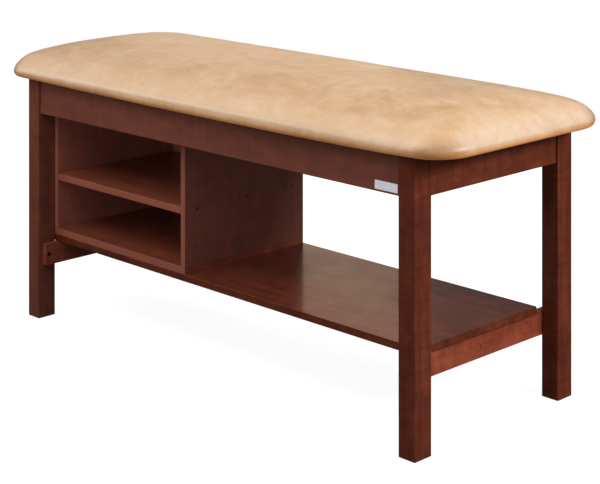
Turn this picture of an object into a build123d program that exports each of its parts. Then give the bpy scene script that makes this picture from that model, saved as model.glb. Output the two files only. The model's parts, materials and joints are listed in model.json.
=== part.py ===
"""Fixed-height examination table: a stained wood frame, a lower shelf, a storage unit and an upholstered top.

All sizes are in millimetres. The origin is on the floor, under the middle of the table. +X runs along the
table's length, with the storage unit at the -X end. The open front of the storage unit faces -Y. +Z is up.
"""

import os
from math import cos, radians, sin, sqrt

from build123d import *

# Upholstered top: a board padded with foam that rolls down softly to a thin rounded edge
TOP_LENGTH = 1829.0
TOP_WIDTH = 610.0
TOP_CORNER_RADIUS = 102.0
TOP_SHOULDER = 19.5
TOP_ROLL = 160.0
TOP_ROLL_RISE = 64.5
TOP_ROLL_POWER = 1.8
TOP_CROWN = 18.0
TOP_LOWER_RADIUS = 16.0
TOP_LOWER_ANGLES = (0, 18, 36, 54, 72, 90)
TOP_ROLL_STEPS = 10
TOP_LEAST_CORNER = 34.0
VINYL = 1.2
VINYL_TURN_UNDER = 25.5

# Frame of four legs and four aprons
FRAME_LENGTH = 1610.0
FRAME_WIDTH = 557.0
FRAME_HEIGHT = 700.0
LEG = 54.0
LEG_EDGE_RADIUS = 2.0
BOARD = 19.0
APRON_HEIGHT = 102.0
APRON_SETBACK = 6.0
APRON_EDGE_RADIUS = 3.0
GLIDE_HEIGHT = 2.0
GLIDE_RADIUS = 12.0
GLIDE_NAIL = 16.0

# End stretchers, the rail between them and the long shelf on top of them
STRETCHER_BOTTOM = 157.5
STRETCHER_HEIGHT = 62.0
LEFT_STRETCHER_SETBACK = 12.5
RIGHT_STRETCHER_SETBACK = 20.0
SHELF_END_PAST_LEG = 10.5
SHELF_FRONT_SETBACK = 55.0
SHELF_REAR_SETBACK = 85.0
EDGE_RADIUS = 1.0

# Storage unit on the shelf
STORAGE_END_SETBACK = 4.0
STORAGE_REAR_SETBACK = 4.0
STORAGE_LENGTH = 631.5
STORAGE_INNER_HEIGHT = 352.0
STORAGE_LOWER_CLEAR = 141.0
BACK_PANEL = 6.0
BACK_PANEL_GAP = 0.25
BACK_RABBET = 9.5

# Blank label on the front apron
LABEL_LENGTH = 76.0
LABEL_HEIGHT = 21.0
LABEL_THICKNESS = 0.5
LABEL_CORNER_RADIUS = 2.0
LABEL_GAP_TO_LEG = 8.0
LABEL_GAP_TO_EDGE = 6.0

# Fasteners: every hole is larger than what sits in it by this much on the radius
CLEARANCE = 0.05
BOLT_CLEARANCE = 0.3
LOOSE_CLEARANCE = 0.5
END_CHAMFER = 1.0
NAIL_TIP = 4.0
SCREW_TIP_SHANKS = 3.0
CROSS_WIDTH = 0.8
CROSS_DEPTH = 0.8
PAN_HEAD_HEIGHT = 2.0
DOWEL_RADIUS = 5.0
DOWEL_LENGTH = 48.0
DOWEL_HEIGHTS = (622.0, 674.0)
BLOCK_LEG = 107.0
BLOCK_HEIGHT = 56.0
BLOCK_BOTTOM = 636.0
BLOCK_SCREW_FROM_LEG = 46.0
HANGER_RADIUS = 4.0
HANGER_DEPTH = 36.0
HANGER_LENGTH = 80.0
HANGER_TIP = 8.0
WASHER_RADIUS = 9.0
WASHER_THICKNESS = 1.6
NUT_RADIUS = 7.5
NUT_HEIGHT = 6.5
NUT_CHAMFER = 0.6
CONNECTOR_RADIUS = 3.0
CONNECTOR_LENGTH = 50.0
CONNECTOR_HEAD_RADIUS = 5.5
CONNECTOR_HEAD_HEIGHT = 3.0
CONNECTOR_FROM_END = 10.5
CONNECTOR_SOCKET_RADIUS = 2.3
CONNECTOR_SOCKET_DEPTH = 3.0
INSERT_RADIUS = 5.0
INSERT_LENGTH = 13.0
SCREW_SHANK = 2.1
SCREW_HEAD = 4.2
SMALL_SHANK = 1.5
SMALL_HEAD = 3.0
COUNTERBORE_RADIUS = 5.0
SHELF_COUNTERBORE = 35.0
SHELF_SCREW = 38.0
SHELF_SCREW_Y = (-150.0, 150.0)
BLOCK_SCREW = 32.0
RAIL_SCREW = 60.0
RAIL_SCREW_BELOW_MIDDLE = 4.0
CARCASE_SCREW = 45.0
CARCASE_SCREW_INSET = 40.0
CARCASE_SCREW_MIDDLE = 210.0
FIXING_SCREW = 32.0
FIXING_SCREW_X = (-600.0, -300.0)
FIXING_SCREW_Y = (-160.0, 120.0)
BACK_SCREW = 20.0
BACK_SCREW_INSET = 45.0
BACK_SCREW_SHELF_X = (-550.0, -350.0)
LONG_X = (-500.0, 0.0, 500.0)
BRACKET_SCREW = 13.0
BRACKET_LEG = 25.0
BRACKET_WIDTH = 20.0
BRACKET_THICKNESS = 2.0
BRACKET_SCREW_REACH = 15.0
STAPLE_CROWN = 10.0
STAPLE_WIRE = 0.7
STAPLE_DEPTH = 8.0
STAPLE_INSET = 20.75
STAPLE_SIDE_STEP = 120.0
STAPLE_END_STEP = 105.0

# Places that follow from the sizes above
LEG_OUT_X = FRAME_LENGTH / 2
LEG_OUT_Y = FRAME_WIDTH / 2
LEG_IN_X = LEG_OUT_X - LEG
LEG_IN_Y = LEG_OUT_Y - LEG
APRON_OUT_X = LEG_OUT_X - APRON_SETBACK
APRON_OUT_Y = LEG_OUT_Y - APRON_SETBACK
APRON_IN_X = APRON_OUT_X - BOARD
APRON_IN_Y = APRON_OUT_Y - BOARD
APRON_BOTTOM = FRAME_HEIGHT - APRON_HEIGHT
STRETCHER_IN_X = LEG_IN_X - BOARD
STRETCHER_MIDDLE = STRETCHER_BOTTOM + STRETCHER_HEIGHT / 2
STRETCHER_TOP = STRETCHER_BOTTOM + STRETCHER_HEIGHT
SHELF_END = LEG_IN_X + SHELF_END_PAST_LEG
SHELF_FRONT = -LEG_OUT_Y + SHELF_FRONT_SETBACK
SHELF_REAR = LEG_OUT_Y - SHELF_REAR_SETBACK
SHELF_TOP = STRETCHER_TOP + BOARD
STORAGE_X = (-SHELF_END + STORAGE_END_SETBACK, -SHELF_END + STORAGE_END_SETBACK + STORAGE_LENGTH)
STORAGE_Y = (SHELF_FRONT, SHELF_REAR - STORAGE_REAR_SETBACK)
STORAGE_INNER_X = (STORAGE_X[0] + BOARD, STORAGE_X[1] - BOARD)
STORAGE_INNER_Z = (SHELF_TOP + BOARD, SHELF_TOP + BOARD + STORAGE_INNER_HEIGHT)
STORAGE_TOP = STORAGE_INNER_Z[1] + BOARD
MID_SHELF_BOTTOM = STORAGE_INNER_Z[0] + STORAGE_LOWER_CLEAR
MID_SHELF_Z = (MID_SHELF_BOTTOM, MID_SHELF_BOTTOM + BOARD)
BACK_PANEL_FRONT = STORAGE_Y[1] - BACK_PANEL
BASEBOARD_TOP = FRAME_HEIGHT + BOARD
ABOVE_TOP = FRAME_HEIGHT + TOP_SHOULDER + TOP_ROLL_RISE + TOP_CROWN + BOARD
CARCASE_SCREW_Y = (
    STORAGE_Y[0] + CARCASE_SCREW_INSET,
    STORAGE_Y[0] + CARCASE_SCREW_MIDDLE,
    STORAGE_Y[1] - CARCASE_SCREW_INSET,
)
UPRIGHT_MIDDLES = (STORAGE_X[0] + BOARD / 2, STORAGE_X[1] - BOARD / 2)
CORNERS = {"front_left": (-1, -1), "front_right": (1, -1), "rear_left": (-1, 1), "rear_right": (1, 1)}
ENDS = {"left": -1, "right": 1}


def middle(low, high):
    return (low + high) / 2


def board(x, y, z):
    """A rectangular solid that spans three (low, high) pairs."""
    sizes = [abs(high - low) for low, high in (x, y, z)]
    return Pos(middle(*x), middle(*y), middle(*z)) * Box(*sizes)


def turned(profile):
    """A solid turned about +Z from a closed outline of (radius, height) points."""
    return revolve(Plane.XZ * make_face(Polyline(*profile, close=True)), Axis.Z)


def placed(shape, spots):
    """Copies of a shape that is drawn along +Z, one for each (point, direction)."""
    return [Plane(origin=point, z_dir=direction) * shape for point, direction in spots]


def group(shapes):
    """Separate identical solids as one part."""
    return Compound([solid for shape in shapes for solid in shape.solids()])


# ---- Fasteners, each drawn along +Z from the outer face of its head at z = 0 ----


def screw(length, shank=SCREW_SHANK, head=SCREW_HEAD):
    """A countersunk wood screw with a cross recess in its head."""
    flare = head - shank
    tip = SCREW_TIP_SHANKS * shank
    body = turned([(0, 0), (head, 0), (shank, flare), (shank, length - tip), (0, length)])
    slot = Box(1.2 * head, CROSS_WIDTH, 2 * CROSS_DEPTH)
    return body - (slot + Rot(0, 0, 90) * slot)


def screw_hole(length, shank=SCREW_SHANK, head=SCREW_HEAD, counterbore=0.0):
    """The hole for a screw, with a counterbore of the given depth above the head."""
    flare = head - shank
    tip = SCREW_TIP_SHANKS * shank
    hole = turned(
        [
            (0, -1),
            (head + CLEARANCE, -1),
            (head + CLEARANCE, 0),
            (shank + CLEARANCE, flare),
            (shank + CLEARANCE, length - tip),
            (CLEARANCE, length + CLEARANCE),
            (0, length + CLEARANCE),
        ]
    )
    if counterbore:
        hole += Pos(0, 0, -counterbore / 2) * Cylinder(COUNTERBORE_RADIUS, counterbore)
    return hole


def connector_bolt():
    """A flat-headed connector bolt with a hexagon socket."""
    edge = CONNECTOR_HEAD_HEIGHT / 2
    body = turned(
        [
            (0, 0),
            (CONNECTOR_HEAD_RADIUS - edge, 0),
            (CONNECTOR_HEAD_RADIUS, edge),
            (CONNECTOR_HEAD_RADIUS, CONNECTOR_HEAD_HEIGHT),
            (CONNECTOR_RADIUS, CONNECTOR_HEAD_HEIGHT),
            (CONNECTOR_RADIUS, CONNECTOR_LENGTH - END_CHAMFER),
            (CONNECTOR_RADIUS - END_CHAMFER, CONNECTOR_LENGTH),
            (0, CONNECTOR_LENGTH),
        ]
    )
    socket = extrude(RegularPolygon(CONNECTOR_SOCKET_RADIUS, 6), amount=CONNECTOR_SOCKET_DEPTH)
    return body - socket


def dowel():
    """A fluteless dowel with chamfered ends, centred on z = 0."""
    body = Cylinder(DOWEL_RADIUS, DOWEL_LENGTH)
    rims = body.edges().group_by(Axis.Z)
    return chamfer(rims[0] + rims[-1], END_CHAMFER)


def dowel_hole():
    """The bore for a whole dowel, shared by the two boards it joins."""
    return Cylinder(DOWEL_RADIUS + CLEARANCE, DOWEL_LENGTH + END_CHAMFER)


def round_hole(radius, length):
    """A plain hole from z = -1 to the given depth."""
    return Pos(0, 0, (length - 1) / 2) * Cylinder(radius + CLEARANCE, length + 1)


# ---- Where the fasteners go, as (point, direction) pairs ----


def long_apron_dowels(sx, sy):
    y = sy * middle(APRON_IN_Y, APRON_OUT_Y)
    return [((sx * LEG_IN_X, y, z), (1, 0, 0)) for z in DOWEL_HEIGHTS]


def end_apron_dowels(sx, sy):
    x = sx * middle(APRON_IN_X, APRON_OUT_X)
    return [((x, sy * LEG_IN_Y, z), (0, 1, 0)) for z in DOWEL_HEIGHTS]


def hanger_axis(sx, sy):
    """From the leg's inner edge towards the table's middle, level with the middle of the corner block."""
    return (sx * LEG_IN_X, sy * LEG_IN_Y, BLOCK_BOTTOM + BLOCK_HEIGHT / 2), (-sx, -sy, 0)


def block_thickness():
    """The corner block's thickness along the diagonal, from the leg's edge to its long face."""
    return (BLOCK_LEG - (APRON_IN_X - LEG_IN_X) - (APRON_IN_Y - LEG_IN_Y)) / sqrt(2)


def block_screws(sx, sy):
    """One screw into each apron beside a corner block's bolt."""
    z = BLOCK_BOTTOM + BLOCK_HEIGHT / 2
    x = LEG_IN_X - BLOCK_SCREW_FROM_LEG
    y = LEG_IN_Y - BLOCK_SCREW_FROM_LEG
    return [
        ((sx * x, sy * (APRON_IN_Y - BOARD), z), (0, sy, 0)),
        ((sx * (APRON_IN_X - BOARD), sy * y, z), (sx, 0, 0)),
    ]


def stretcher_reach(sx):
    """Half the length of an end stretcher; the right one stops further short of the legs' outer faces."""
    return LEG_OUT_Y - (LEFT_STRETCHER_SETBACK if sx < 0 else RIGHT_STRETCHER_SETBACK)


def connector_spots(sx):
    """The two bolts that hold an end stretcher to its legs, from the stretcher's inner face."""
    y = stretcher_reach(sx) - CONNECTOR_FROM_END
    return [((sx * STRETCHER_IN_X, side * y, STRETCHER_MIDDLE), (sx, 0, 0)) for side in (-1, 1)]


def insert_spots(sx):
    return [((sx * LEG_IN_X, point[1], point[2]), direction) for point, direction in connector_spots(sx)]


def rail_screw_spot(sx):
    return [((sx * LEG_IN_X, 0, STRETCHER_MIDDLE - RAIL_SCREW_BELOW_MIDDLE), (-sx, 0, 0))]


def shelf_screws_in_stretcher(sx):
    x = sx * middle(STRETCHER_IN_X, LEG_IN_X)
    return [((x, y, STRETCHER_BOTTOM + SHELF_COUNTERBORE), (0, 0, 1)) for y in SHELF_SCREW_Y]


def shelf_screws_in_rail():
    return [((x, 0, STRETCHER_BOTTOM + SHELF_COUNTERBORE), (0, 0, 1)) for x in LONG_X]



def carcase_screws_from_below():
    return [((x, y, SHELF_TOP), (0, 0, 1)) for x in UPRIGHT_MIDDLES for y in CARCASE_SCREW_Y]


def carcase_screws_from_above():
    return [((x, y, STORAGE_TOP), (0, 0, -1)) for x in UPRIGHT_MIDDLES for y in CARCASE_SCREW_Y]


def mid_shelf_screws():
    z = middle(*MID_SHELF_Z)
    left = [((STORAGE_X[0], y, z), (1, 0, 0)) for y in CARCASE_SCREW_Y]
    right = [((STORAGE_X[1], y, z), (-1, 0, 0)) for y in CARCASE_SCREW_Y]
    return left + right


def storage_fixing_screws():
    return [((x, y, STRETCHER_TOP), (0, 0, 1)) for x in FIXING_SCREW_X for y in FIXING_SCREW_Y]


def back_screws():
    rear = STORAGE_Y[1]
    ledge = BACK_RABBET / 2
    upright_x = (STORAGE_INNER_X[0] - ledge, STORAGE_INNER_X[1] + ledge)
    low, high = STORAGE_INNER_Z
    heights = (low + BACK_SCREW_INSET, middle(low, high), high - BACK_SCREW_INSET)
    sides = [((x, rear, z), (0, -1, 0)) for x in upright_x for z in heights]
    shelf = [((x, rear, middle(*MID_SHELF_Z)), (0, -1, 0)) for x in BACK_SCREW_SHELF_X]
    return sides + shelf


def bracket_spots():
    """The corner line of each top bracket and the direction from its apron to the table's middle."""
    long_sides = [((x, sy * APRON_IN_Y), (0, -sy)) for x in LONG_X for sy in (-1, 1)]
    ends = [((sx * APRON_IN_X, 0), (-sx, 0)) for sx in (-1, 1)]
    return long_sides + ends


def bracket_screw_spots():
    """For each bracket one screw up into the baseboard and one level into its apron."""
    spots = []
    for (x, y), (dx, dy) in bracket_spots():
        up = (x + dx * BRACKET_SCREW_REACH, y + dy * BRACKET_SCREW_REACH, FRAME_HEIGHT - BRACKET_THICKNESS)
        level = (x + dx * BRACKET_THICKNESS, y + dy * BRACKET_THICKNESS, FRAME_HEIGHT - BRACKET_SCREW_REACH)
        spots += [(up, (0, 0, 1)), (level, (-dx, -dy, 0))]
    return spots


def staple_spots():
    """The place and turn of each staple along the turned-under edge of the vinyl."""
    side_y = TOP_WIDTH / 2 - STAPLE_INSET
    end_x = TOP_LENGTH / 2 - STAPLE_INSET
    diagonal = TOP_CORNER_RADIUS - (TOP_CORNER_RADIUS - STAPLE_INSET) / sqrt(2)
    spots = [(STAPLE_SIDE_STEP * step, sy * side_y, 0) for step in range(-6, 7) for sy in (-1, 1)]
    spots += [(sx * end_x, STAPLE_END_STEP * step, 90) for step in range(-2, 3) for sx in (-1, 1)]
    for sx, sy in CORNERS.values():
        spots.append((sx * (TOP_LENGTH / 2 - diagonal), sy * (TOP_WIDTH / 2 - diagonal), -45 * sx * sy))
    return spots


# ---- Frame ----


def leg(sx, sy):
    """A square leg with eased edges, bored for its dowels, hanger bolt, insert and glide."""
    x = (sx * LEG_IN_X, sx * LEG_OUT_X)
    y = (sy * LEG_IN_Y, sy * LEG_OUT_Y)
    body = board(x, y, (GLIDE_HEIGHT, FRAME_HEIGHT))
    body = fillet(body.edges().filter_by(Axis.Z), LEG_EDGE_RADIUS)
    body = chamfer(body.edges().group_by(Axis.Z)[0], EDGE_RADIUS)
    point, inward = hanger_axis(sx, sy)
    outward = tuple(-part for part in inward)
    holes = placed(dowel_hole(), long_apron_dowels(sx, sy) + end_apron_dowels(sx, sy))
    holes += placed(round_hole(HANGER_RADIUS, HANGER_DEPTH + END_CHAMFER), [(point, outward)])
    inserts = [spot for spot in insert_spots(sx) if spot[0][1] * sy > 0]
    holes += placed(round_hole(INSERT_RADIUS, INSERT_LENGTH), inserts)
    holes += placed(round_hole(CONNECTOR_RADIUS + BOLT_CLEARANCE, CONNECTOR_LENGTH - BOARD), inserts)
    holes += placed(glide_nail_hole(), [(glide_point(sx, sy), (0, 0, 1))])
    return body - holes


def glide_point(sx, sy):
    return (sx * (LEG_OUT_X - LEG / 2), sy * (LEG_OUT_Y - LEG / 2), 0)


def glide():
    """A nail-on glide: a low rounded disc with a nail above it."""
    nail_top = GLIDE_HEIGHT + GLIDE_NAIL
    return turned(
        [
            (0, 0),
            (GLIDE_RADIUS - END_CHAMFER, 0),
            (GLIDE_RADIUS, END_CHAMFER),
            (GLIDE_RADIUS, GLIDE_HEIGHT),
            (SMALL_SHANK, GLIDE_HEIGHT),
            (SMALL_SHANK, nail_top - NAIL_TIP),
            (0, nail_top),
        ]
    )


def glide_nail_hole():
    return round_hole(SMALL_SHANK, GLIDE_HEIGHT + GLIDE_NAIL + END_CHAMFER)


def long_apron(sy):
    """The front or rear apron, dowelled between two legs with its lower edges rounded."""
    body = board((-LEG_IN_X, LEG_IN_X), (sy * APRON_IN_Y, sy * APRON_OUT_Y), (APRON_BOTTOM, FRAME_HEIGHT))
    body = fillet(body.edges().filter_by(Axis.X).group_by(Axis.Z)[0], APRON_EDGE_RADIUS)
    for sx in (-1, 1):
        body -= placed(dowel_hole(), long_apron_dowels(sx, sy))
        body -= placed(screw_hole(BLOCK_SCREW), block_screws(sx, sy)[:1])
    return body - bracket_screw_holes()


def end_apron(sx):
    """The left or right apron, dowelled between two legs with its lower edges rounded."""
    body = board((sx * APRON_IN_X, sx * APRON_OUT_X), (-LEG_IN_Y, LEG_IN_Y), (APRON_BOTTOM, FRAME_HEIGHT))
    body = fillet(body.edges().filter_by(Axis.Y).group_by(Axis.Z)[0], APRON_EDGE_RADIUS)
    for sy in (-1, 1):
        body -= placed(dowel_hole(), end_apron_dowels(sx, sy))
        body -= placed(screw_hole(BLOCK_SCREW), block_screws(sx, sy)[1:])
    return body - bracket_screw_holes()


def apron_dowels():
    spots = []
    for sx, sy in CORNERS.values():
        spots += long_apron_dowels(sx, sy) + end_apron_dowels(sx, sy)
    return group(placed(dowel(), spots))


def corner_block(sx, sy):
    """A block glued into the corner behind a leg: notched round the leg, with its long face at 45 degrees."""
    outline = Polyline(
        (sx * LEG_IN_X, sy * APRON_IN_Y),
        (sx * LEG_IN_X, sy * LEG_IN_Y),
        (sx * APRON_IN_X, sy * LEG_IN_Y),
        (sx * APRON_IN_X, sy * (APRON_IN_Y - BLOCK_LEG)),
        (sx * (APRON_IN_X - BLOCK_LEG), sy * APRON_IN_Y),
        close=True,
    )
    face = Pos(0, 0, BLOCK_BOTTOM) * make_face(outline)
    body = extrude(face, amount=BLOCK_HEIGHT, dir=(0, 0, 1))
    point, inward = hanger_axis(sx, sy)
    holes = placed(Cylinder(HANGER_RADIUS + LOOSE_CLEARANCE, 2 * BLOCK_LEG), [(point, inward)])
    holes += placed(screw_hole(BLOCK_SCREW, counterbore=2 * BOARD), block_screws(sx, sy))
    return body - holes


def corner_blocks():
    return group([corner_block(sx, sy) for sx, sy in CORNERS.values()])


def hanger_spots(distance):
    """Points on each corner's hanger bolt axis, at a distance from the leg towards the table's middle."""
    spots = []
    for sx, sy in CORNERS.values():
        (x, y, z), (dx, dy, dz) = hanger_axis(sx, sy)
        step = distance / sqrt(2)
        spots.append(((x + dx * step, y + dy * step, z), (dx, dy, dz)))
    return spots


def hanger_bolts():
    body = turned(
        [
            (0, 0),
            (HANGER_RADIUS, HANGER_TIP),
            (HANGER_RADIUS, HANGER_LENGTH - END_CHAMFER),
            (HANGER_RADIUS - END_CHAMFER, HANGER_LENGTH),
            (0, HANGER_LENGTH),
        ]
    )
    return group(placed(body, hanger_spots(-HANGER_DEPTH)))


def hanger_washers():
    inner = HANGER_RADIUS + LOOSE_CLEARANCE
    ring = Pos(0, 0, WASHER_THICKNESS / 2) * Cylinder(WASHER_RADIUS, WASHER_THICKNESS)
    ring -= Cylinder(inner, 3 * WASHER_THICKNESS)
    return group(placed(ring, hanger_spots(block_thickness())))


def hanger_nuts():
    nut = extrude(RegularPolygon(NUT_RADIUS, 6), amount=NUT_HEIGHT)
    nut = chamfer(nut.edges().group_by(Axis.Z)[-1], NUT_CHAMFER)
    nut -= round_hole(HANGER_RADIUS, NUT_HEIGHT + 1)
    return group(placed(nut, hanger_spots(block_thickness() + WASHER_THICKNESS)))


def corner_block_screws():
    spots = []
    for sx, sy in CORNERS.values():
        spots += block_screws(sx, sy)
    return group(placed(screw(BLOCK_SCREW), spots))


def floor_glides():
    spots = [(glide_point(sx, sy), (0, 0, 1)) for sx, sy in CORNERS.values()]
    return group(placed(glide(), spots))


# ---- Stretchers, rail and shelf ----


def end_stretcher(sx):
    """A stretcher lapped on the inner faces of two legs."""
    reach = stretcher_reach(sx)
    body = board((sx * STRETCHER_IN_X, sx * LEG_IN_X), (-reach, reach), (STRETCHER_BOTTOM, STRETCHER_TOP))
    body = fillet(body.edges().filter_by(Axis.Y), EDGE_RADIUS)
    bore = round_hole(CONNECTOR_HEAD_RADIUS + LOOSE_CLEARANCE, CONNECTOR_HEAD_HEIGHT)
    bore += round_hole(CONNECTOR_RADIUS + BOLT_CLEARANCE, 2 * BOARD)
    holes = placed(bore, connector_spots(sx))
    holes += placed(screw_hole(RAIL_SCREW), rail_screw_spot(sx))
    holes += placed(screw_hole(SHELF_SCREW, counterbore=SHELF_COUNTERBORE + 1), shelf_screws_in_stretcher(sx))
    return body - holes


def stretcher_bolts():
    return group(placed(connector_bolt(), connector_spots(-1) + connector_spots(1)))


def stretcher_inserts():
    """Threaded inserts pressed into the legs, flush with their inner faces."""
    bore = CONNECTOR_RADIUS + CLEARANCE
    sleeve = turned([(bore, 0), (INSERT_RADIUS, 0), (INSERT_RADIUS, INSERT_LENGTH), (bore, INSERT_LENGTH)])
    return group(placed(sleeve, insert_spots(-1) + insert_spots(1)))


def shelf_centre_rail():
    """A rail on edge under the middle of the shelf, between the end stretchers."""
    half = BOARD / 2
    body = board((-STRETCHER_IN_X, STRETCHER_IN_X), (-half, half), (STRETCHER_BOTTOM, STRETCHER_TOP))
    body = fillet(body.edges().filter_by(Axis.X).group_by(Axis.Z)[0], EDGE_RADIUS)
    holes = placed(screw_hole(RAIL_SCREW), rail_screw_spot(-1) + rail_screw_spot(1))
    holes += placed(screw_hole(SHELF_SCREW, counterbore=SHELF_COUNTERBORE + 1), shelf_screws_in_rail())
    return body - holes


def rail_screws():
    return group(placed(screw(RAIL_SCREW), rail_screw_spot(-1) + rail_screw_spot(1)))


def shelf_screws():
    spots = shelf_screws_in_stretcher(-1) + shelf_screws_in_stretcher(1) + shelf_screws_in_rail()
    return group(placed(screw(SHELF_SCREW), spots))


def long_shelf():
    """The full-length shelf that rests on the stretchers and the rail."""
    body = board((-SHELF_END, SHELF_END), (SHELF_FRONT, SHELF_REAR), (STRETCHER_TOP, SHELF_TOP))
    body = fillet(body.edges(), EDGE_RADIUS)
    pilots = shelf_screws_in_stretcher(-1) + shelf_screws_in_stretcher(1) + shelf_screws_in_rail()
    holes = placed(screw_hole(SHELF_SCREW), pilots)
    holes += placed(screw_hole(FIXING_SCREW), storage_fixing_screws())
    return body - holes


# ---- Storage unit ----


def eased_board(x, y, z):
    """A board with its four front edges lightly rounded."""
    body = board(x, y, z)
    front = body.faces().sort_by(Axis.Y)[0]
    return fillet(front.edges(), EDGE_RADIUS)


def storage_bottom():
    body = eased_board(STORAGE_X, STORAGE_Y, (SHELF_TOP, STORAGE_INNER_Z[0]))
    holes = placed(screw_hole(CARCASE_SCREW), carcase_screws_from_below())
    holes += placed(screw_hole(FIXING_SCREW), storage_fixing_screws())
    return body - holes


def storage_top():
    body = eased_board(STORAGE_X, STORAGE_Y, (STORAGE_INNER_Z[1], STORAGE_TOP))
    return body - placed(screw_hole(CARCASE_SCREW), carcase_screws_from_above())


def storage_upright(x, rabbet):
    """A side of the storage unit, rabbeted along its rear edge for the back panel."""
    body = eased_board(x, STORAGE_Y, STORAGE_INNER_Z)
    body -= board(rabbet, (BACK_PANEL_FRONT, STORAGE_Y[1]), STORAGE_INNER_Z)
    holes = placed(screw_hole(CARCASE_SCREW), carcase_screws_from_below() + carcase_screws_from_above())
    holes += placed(screw_hole(CARCASE_SCREW), mid_shelf_screws())
    holes += placed(screw_hole(BACK_SCREW, SMALL_SHANK, SMALL_HEAD), back_screws())
    return body - holes


def storage_left_side():
    inner = STORAGE_INNER_X[0]
    return storage_upright((STORAGE_X[0], inner), (inner - BACK_RABBET, inner))


def storage_divider():
    inner = STORAGE_INNER_X[1]
    return storage_upright((inner, STORAGE_X[1]), (inner, inner + BACK_RABBET))


def storage_mid_shelf():
    body = eased_board(STORAGE_INNER_X, (STORAGE_Y[0], BACK_PANEL_FRONT), MID_SHELF_Z)
    holes = placed(screw_hole(CARCASE_SCREW), mid_shelf_screws())
    holes += placed(screw_hole(BACK_SCREW, SMALL_SHANK, SMALL_HEAD), back_screws())
    return body - holes


def storage_back_panel():
    """The thin panel that closes the rear of the storage unit, set into the uprights' rabbets."""
    reach = BACK_RABBET - BACK_PANEL_GAP
    x = (STORAGE_INNER_X[0] - reach, STORAGE_INNER_X[1] + reach)
    z = (STORAGE_INNER_Z[0] + BACK_PANEL_GAP, STORAGE_INNER_Z[1] - BACK_PANEL_GAP)
    body = board(x, (BACK_PANEL_FRONT, STORAGE_Y[1]), z)
    return body - placed(screw_hole(BACK_SCREW, SMALL_SHANK, SMALL_HEAD), back_screws())


def storage_carcase_screws():
    return group(placed(screw(CARCASE_SCREW), carcase_screws_from_below() + carcase_screws_from_above()))


# ---- Upholstered top ----


def bracket_screw_holes():
    hole = round_hole(SMALL_SHANK, BRACKET_SCREW)
    return placed(hole, bracket_screw_spots())


def bracket_screw():
    """A pan-headed screw: its head stands above z = 0 and bears on the bracket."""
    return turned(
        [
            (0, -PAN_HEAD_HEIGHT),
            (SMALL_HEAD - END_CHAMFER, -PAN_HEAD_HEIGHT),
            (SMALL_HEAD, END_CHAMFER - PAN_HEAD_HEIGHT),
            (SMALL_HEAD, 0),
            (SMALL_SHANK, 0),
            (SMALL_SHANK, BRACKET_SCREW - NAIL_TIP),
            (0, BRACKET_SCREW),
        ]
    )


def top_brackets():
    """Steel angle brackets that tie the aprons to the baseboard."""
    holes = placed(round_hole(SMALL_SHANK + BOLT_CLEARANCE, 2 * BRACKET_THICKNESS), bracket_screw_spots())
    brackets = []
    half = BRACKET_WIDTH / 2
    for (x, y), (dx, dy) in bracket_spots():
        across_x = (x - half * abs(dy), x + half * abs(dy))
        across_y = (y - half * abs(dx), y + half * abs(dx))
        arms = []
        for reach, drop in ((BRACKET_LEG, BRACKET_THICKNESS), (BRACKET_THICKNESS, BRACKET_LEG)):
            span_x = (x, x + dx * reach) if dx else across_x
            span_y = (y, y + dy * reach) if dy else across_y
            arms.append(board(span_x, span_y, (FRAME_HEIGHT - drop, FRAME_HEIGHT)))
        brackets.append(arms[0] + arms[1] - holes)
    return group(brackets)


def top_bracket_screws():
    return group(placed(bracket_screw(), bracket_screw_spots()))


def staple(grow=0.0):
    """A staple with its crown below z = 0 and two legs that point up."""
    wire = STAPLE_WIRE + 2 * grow
    crown = Pos(0, 0, -STAPLE_WIRE / 2) * Box(STAPLE_CROWN + 2 * grow, wire, STAPLE_WIRE)
    prong = Box(wire, wire, STAPLE_DEPTH + 2 * grow)
    reach = (STAPLE_CROWN - STAPLE_WIRE) / 2
    return crown + [Pos(side * reach, 0, STAPLE_DEPTH / 2) * prong for side in (-1, 1)]


def stapled(shape):
    underside = FRAME_HEIGHT - VINYL
    return [Pos(x, y, underside) * Rot(0, 0, turn) * shape for x, y, turn in staple_spots()]


def cover_staples():
    return group(stapled(staple()))


def cushion(offset):
    """The padded top as stacked rounded sections, drawn in from the cover's outer face by an offset."""
    underside = FRAME_HEIGHT - VINYL + offset
    profile = []
    for angle in TOP_LOWER_ANGLES:
        inset = TOP_LOWER_RADIUS * (1 - sin(radians(angle)))
        rise = TOP_LOWER_RADIUS * (1 - cos(radians(angle)))
        profile.append((inset, underside + rise))
    for step in range(TOP_ROLL_STEPS + 1):
        inset = TOP_ROLL * (step / TOP_ROLL_STEPS) ** 2
        roll = (1 - (1 - inset / TOP_ROLL) ** TOP_ROLL_POWER) ** (1 / TOP_ROLL_POWER)
        crown = 1 - (1 - 2 * inset / TOP_WIDTH) ** 2
        rise = TOP_ROLL_RISE * roll + TOP_CROWN * crown
        profile.append((inset, FRAME_HEIGHT + TOP_SHOULDER + rise - offset))
    sections = []
    for inset, z in profile:
        drawn_in = 2 * (inset + offset)
        corner = max(TOP_CORNER_RADIUS - inset - offset, TOP_LEAST_CORNER)
        outline = RectangleRounded(TOP_LENGTH - drawn_in, TOP_WIDTH - drawn_in, corner)
        sections.append(Pos(0, 0, z) * outline)
    return loft(sections, ruled=True)


def slab(bottom, top):
    """A slice of space wider than the table between two heights."""
    return board((-TOP_LENGTH, TOP_LENGTH), (-TOP_WIDTH, TOP_WIDTH), (bottom, top))


def top_baseboard():
    """The plywood panel under the padding, its lower edge rounded to carry the cover."""
    plate = cushion(VINYL) & slab(FRAME_HEIGHT, BASEBOARD_TOP)
    return plate - bracket_screw_holes() - stapled(staple(CLEARANCE))


def foam_pad():
    return cushion(VINYL) & slab(BASEBOARD_TOP, ABOVE_TOP)


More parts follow.
